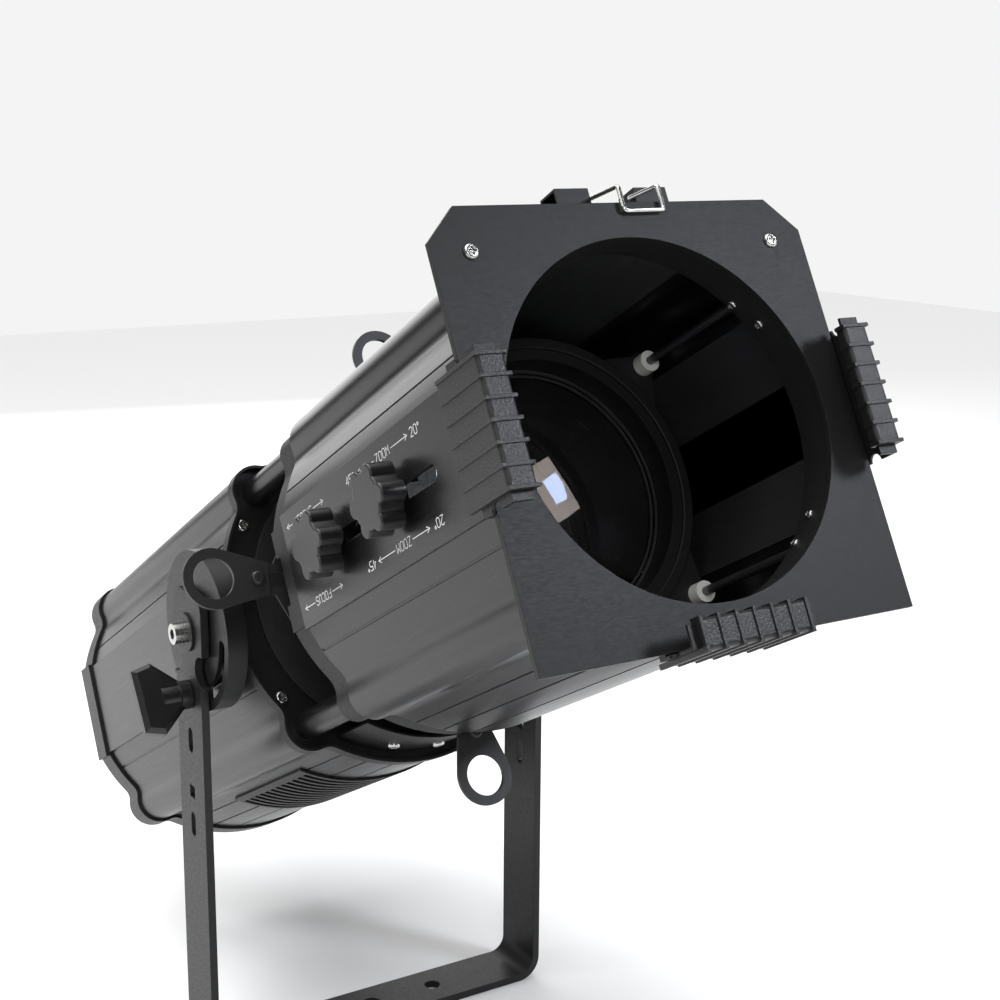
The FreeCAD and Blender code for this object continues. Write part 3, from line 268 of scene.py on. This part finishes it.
# Ground lens glass with an anti-reflection coat: clear, with a thin film that tints its reflection blue
def lensGlass(name, tint, film, dustMm=2.5):
    material = bpy.data.materials.new(name)
    material.use_nodes = True
    tree = material.node_tree
    shader = tree.nodes["Principled BSDF"]
    level = levelCoordinates(tree)
    dust = addNode(tree, "ShaderNodeTexNoise", {"Vector": level, "Scale": 1000 / dustMm, "Detail": 4.0})
    haze = addNode(tree, "ShaderNodeMapRange", {
        "Value": dust.outputs["Fac"], "From Min": 0.62, "From Max": 0.8, "To Min": 0.0, "To Max": 0.05})
    tree.links.new(haze.outputs["Result"], shader.inputs["Roughness"])
    shader.inputs["Base Color"].default_value = linear(tint)
    shader.inputs["IOR"].default_value = 1.52
    shader.inputs["Transmission Weight"].default_value = 1.0
    shader.inputs["Thin Film Thickness"].default_value = film
    shader.inputs["Thin Film IOR"].default_value = 1.38
    return material


# Ceramic board with a field of phosphor-coated chips: pale board, yellow cells of cellMm with thin gaps
def ledPhosphor(cellMm=5.6, gapMm=0.5, fieldMm=17.0):
    material = bpy.data.materials.new("ledPhosphor")
    material.use_nodes = True
    tree = material.node_tree
    shader = tree.nodes["Principled BSDF"]
    level = levelCoordinates(tree)
    parts = addNode(tree, "ShaderNodeSeparateXYZ", {"Vector": level})
    inside = []
    for axis in ("X", "Z"):
        size = addNode(tree, "ShaderNodeMath", {0: parts.outputs[axis]}, operation="ABSOLUTE")
        inField = addNode(tree, "ShaderNodeMath", {0: size.outputs[0], 1: fieldMm / 1000},
                          operation="LESS_THAN")
        cell = addNode(tree, "ShaderNodeMath", {0: parts.outputs[axis], 1: cellMm / 1000},
                       operation="FLOORED_MODULO")
        onCell = addNode(tree, "ShaderNodeMath", {0: cell.outputs[0], 1: gapMm / 1000},
                         operation="GREATER_THAN")
        inside.append(addNode(tree, "ShaderNodeMath", {0: inField.outputs[0], 1: onCell.outputs[0]},
                              operation="MULTIPLY").outputs[0])
    chip = addNode(tree, "ShaderNodeMath", {0: inside[0], 1: inside[1]}, operation="MULTIPLY")
    colour = addNode(tree, "ShaderNodeMix", {"Factor": chip.outputs[0], "A": linear("#d8d6cc"),
                                             "B": linear("#e8cf3c")}, data_type="RGBA")
    bump = addNode(tree, "ShaderNodeBump", {"Height": chip.outputs[0], "Distance": 0.0003})
    tree.links.new(colour.outputs["Result"], shader.inputs["Base Color"])
    tree.links.new(bump.outputs["Normal"], shader.inputs["Normal"])
    shader.inputs["Roughness"].default_value = 0.5
    return material


materials["coatedGlass"] = lensGlass("coatedGlass", "#e9f2fb", 125.0)
materials["clearGlass"] = lensGlass("clearGlass", "#f4f7f4", 110.0)
materials["ledPhosphor"] = ledPhosphor()

slotFinish = {
    "black_extrusion": "anodisedExtrusion", "black_sheet": "powderCoat", "black_plate": "coatedPlate",
    "yoke_steel": "barCoat", "bright_screw": "zincPlate", "grip_plastic": "grainedAbs",
    "cap_plastic": "capAbs", "knob_plastic": "knobNylon", "dark_casting": "mattCasting",
    "rod_steel": "blackenedRod", "white_nylon": "whiteNylon", "lens_glass": "clearGlass",
    "wire_steel": "springWire", "shutter_steel": "shutterSheet", "bare_aluminium": "bareAluminium",
    "led_board": "ledPhosphor", "fan_plastic": "fanNylon", "driver_case": "pottedCase",
    "panel_plastic": "bezelAcrylic", "button_rubber": "keyRubber", "connector_plastic": "connectorNylon",
}
# nodes whose finish differs from their slot's
nodeFinish = {"pivot_washers": "barCoat", "lock_studs": "blackenedRod"}
for part in frame["record"]["subparts"]:
    mesh = frame["nodes"][part["node"]].data
    mesh.materials.clear()
    finish = nodeFinish.get(part["node"], slotFinish[part["material_slot"]])
    mesh.materials.append(materials[finish])
print("materials on the frame's nodes:", len(materials))


# A section carried along a path: its first number goes sideways along the miter of the two runs that
# meet at each row, its second goes along up, and both ends close on the path's own end points.
def swept(path, section, up):
    path, section, up = (np.asarray(item, float) for item in (path, section, up))
    run = np.diff(path, axis=0)
    run = run / np.linalg.norm(run, axis=1, keepdims=True)
    before, after = np.vstack([run[:1], run]), np.vstack([run, run[-1:]])
    along = before + after
    along = along / np.linalg.norm(along, axis=1, keepdims=True)
    miter = 1 / np.maximum(0.5, np.sum(along * after, axis=1, keepdims=True))
    side = np.cross(along, up) * miter
    ring = path[:, None] + side[:, None] * section[None, :, :1] + up * section[None, :, 1:]
    ends = [np.repeat(path[index][None, None], len(section), axis=1) for index in (0, -1)]
    return np.concatenate([ends[0], ring, ends[1]])


# The scales by the two slots: each stroke is a flat ribbon on the left pad. A word is read from the
# left side, and the lower row is printed upside down. A letter is 4 units wide and 6 high, and "d" is
# the degree ring. Each scale gives its word, the word's centre, both tips and the figures at the ends.
sliderPrint = {"unit": 0.76, "advance": 5.6, "stroke": 0.42, "thick": 0.08, "lift": 0.02,
               "upperZ": 24.0, "lowerZ": -22.5, "headLong": 3.2, "headHalf": 1.5,
               "wordGap": 2, "figureRoom": 12.0, "figureInset": 3,
               "scales": (("ZOOM", 98.0, 57.0, 140.0, ("20d", "45d")),
                          ("FOCUS", 200.0, 174.0, 226.0, None))}
letterWide, letterHigh = 4, 6
roundStroke = [(1, 0), (3, 0), (4, 1), (4, 5), (3, 6), (1, 6), (0, 5), (0, 1), (1, 0)]
glyphs = {
    "Z": [[(0, 6), (4, 6), (0, 0), (4, 0)]], "O": [roundStroke], "0": [roundStroke],
    "M": [[(0, 0), (0, 6), (2, 3), (4, 6), (4, 0)]], "F": [[(0, 0), (0, 6), (4, 6)], [(0, 3), (3, 3)]],
    "C": [[(4, 5), (3, 6), (1, 6), (0, 5), (0, 1), (1, 0), (3, 0), (4, 1)]],
    "U": [[(0, 6), (0, 1), (1, 0), (3, 0), (4, 1), (4, 6)]],
    "S": [[(4, 5), (3, 6), (1, 6), (0, 5), (0, 4), (1, 3), (3, 3), (4, 2), (4, 1), (3, 0), (1, 0), (0, 1)]],
    "2": [[(0, 5), (1, 6), (3, 6), (4, 5), (4, 4), (0, 0), (4, 0)]],
    "4": [[(3, 0), (3, 6), (0, 2), (4, 2)]],
    "5": [[(4, 6), (0, 6), (0, 3.5), (3, 3.5), (4, 2.5), (4, 1), (3, 0), (0, 0)]],
    "d": [[(0, 5), (1, 6), (2, 5), (1, 4), (0, 5)]],
}


# strokes of a word in millimetres along and up, with its centre at the origin
def wordStrokes(word, unit, advance):
    wide = (len(word) - 1) * advance + letterWide
    return [[((x + index * advance - wide / 2) * unit, (y - letterHigh / 2) * unit) for x, y in stroke]
            for index, letter in enumerate(word) for stroke in glyphs[letter]]


# an arrow from start to tip along the row, as a line and a barbed head
def arrowStrokes(start, tip, spec):
    back = tip - math.copysign(spec["headLong"], tip - start)
    return [[(start, 0), (tip, 0)], [(back, spec["headHalf"]), (tip, 0), (back, -spec["headHalf"])]]


def makeSliderPrint(spec):
    half = spec["stroke"] / 2
    section = [(-half, 0), (half, 0), (half, spec["thick"]), (-half, spec["thick"])]
    grids = []
    for rowZ, flip in ((spec["upperZ"], 1), (spec["lowerZ"], -1)):
        for word, centre, front, rear, figures in spec["scales"]:
            reach = (len(word) * spec["advance"] / 2 + spec["wordGap"]) * spec["unit"]
            room = spec["figureRoom"] if figures else 0.0
            marks = [(wordStrokes(word, spec["unit"], spec["advance"]), centre, flip),
                     (arrowStrokes(reach, centre - front - room, spec), centre, 1),
                     (arrowStrokes(-reach, centre - rear + room, spec), centre, 1)]
            if figures:
                places = (front + spec["figureInset"], rear - spec["figureInset"])
                for figure, place in zip(figures, places):
                    marks.append((wordStrokes(figure, spec["unit"], spec["advance"]), place, flip))
            for strokes, middle, turn in marks:
                for stroke in strokes:
                    path = [(-lamp["padX"] - spec["lift"], middle - turn * u, rowZ + turn * v)
                            for u, v in stroke]
                    grids.append((placed(swept(path, section, (-1, 0, 0))), False, True))
    return makePiece("sliderPrint", grids, "lamp_body", materials["printInk"])


makeSliderPrint(sliderPrint)
print("scales by the slots made")


# Pan-head screws with a cross recess: the height over the face is the head's height times one less
# rimDrop times the eighth power of r over R, less a recess where either arm of the cross is near, with
# sloping walls. The height and depth are those of a head of sizeR, the arms and slopes are shares of R.
screwHead = {"high": 2.3, "deep": 1.5, "sizeR": 4.5, "rimDrop": 0.75, "dome": 8, "armHalf": 0.16,
             "armLong": 0.56, "sideSlope": 0.05, "endSlope": 0.12, "turn": 0.4, "foot": 0.4,
             "rings": 26, "turns": 72}


def screwGrid(place, outward, radius, spec):
    place, outward = np.asarray(place, float), np.asarray(outward, float)
    alongBody = abs(outward[1]) >= 0.9
    side = np.cross(outward, (0.0, 0.0, 1.0) if alongBody else (0.0, 1.0, 0.0))
    side /= np.linalg.norm(side)
    other = np.cross(outward, side)
    share = np.linspace(0, 1, spec["rings"])[:, None]
    angle = np.linspace(0, 2 * np.pi, spec["turns"], endpoint=False)[None, :] + spec["turn"]
    u, v = share * np.cos(angle), share * np.sin(angle)
    across = np.minimum(np.abs(u), np.abs(v))
    along = np.maximum(np.abs(u), np.abs(v))
    inArm = np.clip((spec["armHalf"] - across) / spec["sideSlope"], 0, 1)
    inArm = inArm * np.clip((spec["armLong"] - along) / spec["endSlope"], 0, 1)
    size = radius / spec["sizeR"]
    high = spec["high"] * size * (1 - spec["rimDrop"] * share ** spec["dome"]) - inArm * spec["deep"] * size
    flat = place + radius * (u[..., None] * side + v[..., None] * other)
    sunk = spec["foot"] * outward
    top, foot = flat + high[..., None] * outward, flat[-1:] - sunk
    under = np.repeat((place - sunk)[None, None], angle.shape[1], axis=1)
    return placed(np.concatenate([top, foot, under])), False, True


# the outward unit direction at an angle about the optical axis: its cosine along x, its sine along z
def radial(degrees):
    return np.array([math.cos(math.radians(degrees)), 0.0, math.sin(math.radians(degrees))])


caseScrews = {"headR": 4.0, "smallR": 2.6, "frame": (89.0, 87.0), "collar": (86.5, 54.5),
              "coverR": 102.08, "coverY": 312.0, "coverStep": 17.0, "linerR": 93.3,
              "liner": ((41.0, 20.5), (31.0, 16.0), (-35.0, 16.0), (-45.0, 20.5))}


def makeCaseScrews(spec):
    grids = []
    forward = (0.0, -1.0, 0.0)
    for side in (-1, 1):
        x, z = spec["frame"]
        grids.append(screwGrid((side * x, 0.0, z), forward, spec["headR"], screwHead))
        for up in (-1, 1):
            x, z = spec["collar"]
            grids.append(screwGrid((side * x, lamp["collarY"], up * z), forward, spec["headR"], screwHead))
    for middle in (90, 270):
        for step in (-1, 0, 1):
            out = radial(middle + step * spec["coverStep"])
            grids.append(screwGrid(out * spec["coverR"] + np.array([0, spec["coverY"], 0]), out,
                                   spec["headR"], screwHead))
    for angle, y in spec["liner"]:
        for turn in (angle, 180 - angle):
            out = radial(turn)
            grids.append(screwGrid(out * spec["linerR"] + np.array([0, y, 0]), -out,
                                   spec["smallR"], screwHead))
    return makePiece("caseScrews", grids, "lamp_body", materials["zincPlate"], 40.0,
                     replaces=["case_screws"])


makeCaseScrews(caseScrews)
print("screws made")


# Fluted lining inside the barrel: curved panels between the corner lobes and clear of the left pad. The
# inner radius is the outer one less the thickness and less the step, and the step rises over the first
# sixth of a flute and then falls to a fifth of itself, so that every flute has its own sheen.
lining = {"outerR": 105.6, "thick": 0.5, "step": 0.7, "rise": 6, "fall": 0.8, "front": 26.0,
          "rear": 230.0, "flutes": 5, "fullSpan": 66, "cutsPerFlute": 12, "padInsideX": 102.6,
          "spans": ((-33, 33), (57, 123), (150, 160), (200, 210), (237, 303))}


def makeLining(spec):
    grids = []
    for first, last in spec["spans"]:
        flutes = max(1, round(spec["flutes"] * (last - first) / spec["fullSpan"]))
        share = np.linspace(0, flutes, flutes * spec["cutsPerFlute"] + 1)
        angle = np.radians(first + (last - first) * share / flutes)
        across = share % 1
        step = spec["step"] * np.minimum(1, across * spec["rise"]) * (1 - spec["fall"] * across)
        inner = spec["outerR"] - spec["thick"] - step
        outer = np.full_like(inner, spec["outerR"])
        radius = np.concatenate([outer, inner[::-1]])
        turn = np.concatenate([angle, angle[::-1]])
        x = np.clip(radius * np.cos(turn), -spec["padInsideX"], spec["padInsideX"])
        loop = np.stack([x, np.zeros_like(x), radius * np.sin(turn)], axis=-1)
        middle = np.repeat(loop.mean(axis=0)[None], len(loop), axis=0)
        rows = [middle + [0, spec["front"], 0], loop + [0, spec["front"], 0],
                loop + [0, spec["rear"], 0], middle + [0, spec["rear"], 0]]
        grids.append((placed(np.stack(rows)), False, True))
    # the lining's paler colour is painted light on the flutes, not a different coat
    return makePiece("barrelLining", grids, "lamp_body", materials["liningCoatPaintedLight"], 20.0)


makeLining(lining)

# Plano-convex lenses: the front is a sphere through the rim, turned about the axis. Its radius is the
# rim radius squared plus the bulge squared, over twice the bulge.
lensShape = {"clearance": 0.05, "chamfer": 0.5, "arcSteps": 48, "turns": 180}
lenses = {
    "zoomLens": {"node": "zoom_lens", "body": "zoom_carriage", "radius": 72.0, "rimY": 131.0, "thick": 6.0,
                 "bulge": 20.0, "glass": "coatedGlass"},
    "focusLens": {"node": "focus_lens", "body": "focus_carriage", "radius": 60.0, "rimY": 199.0,
                  "thick": 6.0, "bulge": 4.0, "glass": "clearGlass"},
}


def makeLens(name, spec):
    radius, bulge, chamfer = spec["radius"] - lensShape["clearance"], spec["bulge"], lensShape["chamfer"]
    ball = (radius ** 2 + bulge ** 2) / (2 * bulge)
    swing = np.linspace(0, math.asin(radius / ball), lensShape["arcSteps"])
    dome = [(ball * math.sin(a), spec["rimY"] - bulge + ball * (1 - math.cos(a))) for a in swing]
    back = spec["rimY"] + spec["thick"]
    profile = dome + [(radius, back - chamfer), (radius - chamfer, back), (0.0, back)]
    return makePiece(name, [(placed(turned(profile, lensShape["turns"])), False, True)], spec["body"],
                     materials[spec["glass"]], 30.0, replaces=[spec["node"]])


for lensName, lensSpec in lenses.items():
    makeLens(lensName, lensSpec)

# Rings in front of the zoom lens: a raised outer step on the flange and two thin retaining rings,
# each a closed profile turned about the axis
carriageRings = {
    "flangeStep": ([(78.0, 111.7), (78.0, 110.2), (78.5, 109.8),
                    (83.5, 109.8), (83.95, 110.2), (83.95, 111.7)], "mattCasting"),
    "retainerOuter": ([(70.0, 127.6), (70.0, 126.4), (71.6, 126.4), (71.6, 127.6)], "blackenedRod"),
    "retainerInner": ([(67.6, 127.9), (67.6, 127.2), (68.8, 127.2), (68.8, 128.2)], "blackenedRod"),
}
for ringName, (profile, finish) in carriageRings.items():
    makePiece(ringName, [(placed(turned(profile, lensShape["turns"])), True, True)], "zoom_carriage",
              materials[finish], 25.0)
print("lenses and rings made")


camera = {"lens": 60.39, "place": (-0.4853, -0.9394, 0.5908), "turn": (77.631, -0.342, -31.926)}
cameraData = bpy.data.cameras.new("camera")
cameraData.lens = camera["lens"]
cameraData.sensor_width = 36.0
cameraObject = bpy.data.objects.new("camera", cameraData)
cameraObject.location = camera["place"]
cameraObject.rotation_euler = Euler([math.radians(a) for a in camera["turn"]])
bpy.context.scene.collection.objects.link(cameraObject)
bpy.context.scene.camera = cameraObject

lights = {
    # name: place, aim, size across and up, watts, colour
    "keyBox": ((-1.3, -0.7, 1.9), (0.0, -0.1, 0.35), (0.8, 0.8), 9.0, "#ffffff"),
    "leftStrip": ((-1.7, 0.5, 0.75), (0.0, 0.0, 0.3), (0.25, 1.4), 7.0, "#ffffff"),
    "topStrip": ((-0.5, 0.7, 1.8), (0.0, 0.0, 0.3), (0.3, 1.4), 12.0, "#ffffff"),
    "lensWindow": ((0.87, -1.22, 1.3), (0.0, -0.214, 0.404), (0.36, 0.32), 12.0, "#f0f5ff"),
    "rightFill": ((1.5, -0.9, 0.4), (0.0, -0.1, 0.3), (0.8, 0.8), 3.0, "#ffffff"),
    "frontBox": ((-0.9, -2.3, 1.5), (0.05, -0.2, 0.4), (0.6, 0.6), 12.0, "#ffffff"),
    "backPanel": ((0.5, 2.4, 0.9), (0.0, 0.0, 0.3), (2.4, 1.2), 22.0, "#ffffff"),
}
for name, (place, aim, size, watts, colour) in lights.items():
    light = bpy.data.lights.new(name, "AREA")
    light.shape = "RECTANGLE"
    light.size, light.size_y = size
    light.energy = watts
    light.color = linear(colour)[:3]
    lightObject = bpy.data.objects.new(name, light)
    lightObject.location = place
    lightObject.rotation_euler = (Vector(aim) - Vector(place)).to_track_quat("-Z", "Y").to_euler()
    bpy.context.scene.collection.objects.link(lightObject)

# a broad overhead light, which keeps the whole floor pale: strength, breadth and lean in degrees
overheadSun = {"strength": 2.7, "breadth": 70.0, "lean": (-12.0, -8.0, 0.0)}
overhead = bpy.data.lights.new("overhead", "SUN")
overhead.energy = overheadSun["strength"]
overhead.angle = math.radians(overheadSun["breadth"])
overheadObject = bpy.data.objects.new("overhead", overhead)
overheadObject.rotation_euler = [math.radians(a) for a in overheadSun["lean"]]
bpy.context.scene.collection.objects.link(overheadObject)

# the backdrop is white to the camera and lights the object less, which keeps black finishes black
studio = {"backdrop": "#f4f4f4", "lightStrength": 0.12, "seenStrength": 1.0,
          "floor": "#f2f2f2", "floorRoughness": 0.9, "floorHalf": 4.0, "floorDrop": 0.0005}
world = bpy.data.worlds.new("studio")
world.use_nodes = True
tree = world.node_tree
backdrop = tree.nodes["Background"]
backdrop.inputs["Color"].default_value = linear(studio["backdrop"])
seen = addNode(tree, "ShaderNodeLightPath").outputs["Is Camera Ray"]
strength = addNode(tree, "ShaderNodeMapRange", {
    "Value": seen, "To Min": studio["lightStrength"], "To Max": studio["seenStrength"]})
tree.links.new(strength.outputs["Result"], backdrop.inputs["Strength"])
bpy.context.scene.world = world
# a plain contrast: whites stay white and blacks stay deep
bpy.context.scene.view_settings.view_transform = "Standard"


def makeFloor(spec):
    material = bpy.data.materials.new("paleFloor")
    material.use_nodes = True
    shader = material.node_tree.nodes["Principled BSDF"]
    shader.inputs["Base Color"].default_value = linear(spec["floor"])
    shader.inputs["Roughness"].default_value = spec["floorRoughness"]
    half, under = spec["floorHalf"], cadLow.z - spec["floorDrop"]
    corners = [(x * half, y * half, under) for x, y in ((-1, -1), (1, -1), (1, 1), (-1, 1))]
    mesh = bpy.data.meshes.new("floor")
    mesh.from_pydata(corners, [], [(0, 1, 2, 3)])
    mesh.materials.append(material)
    floor = bpy.data.objects.new("floor", mesh)
    bpy.context.scene.collection.objects.link(floor)


makeFloor(studio)
print("camera, lights and floor made")
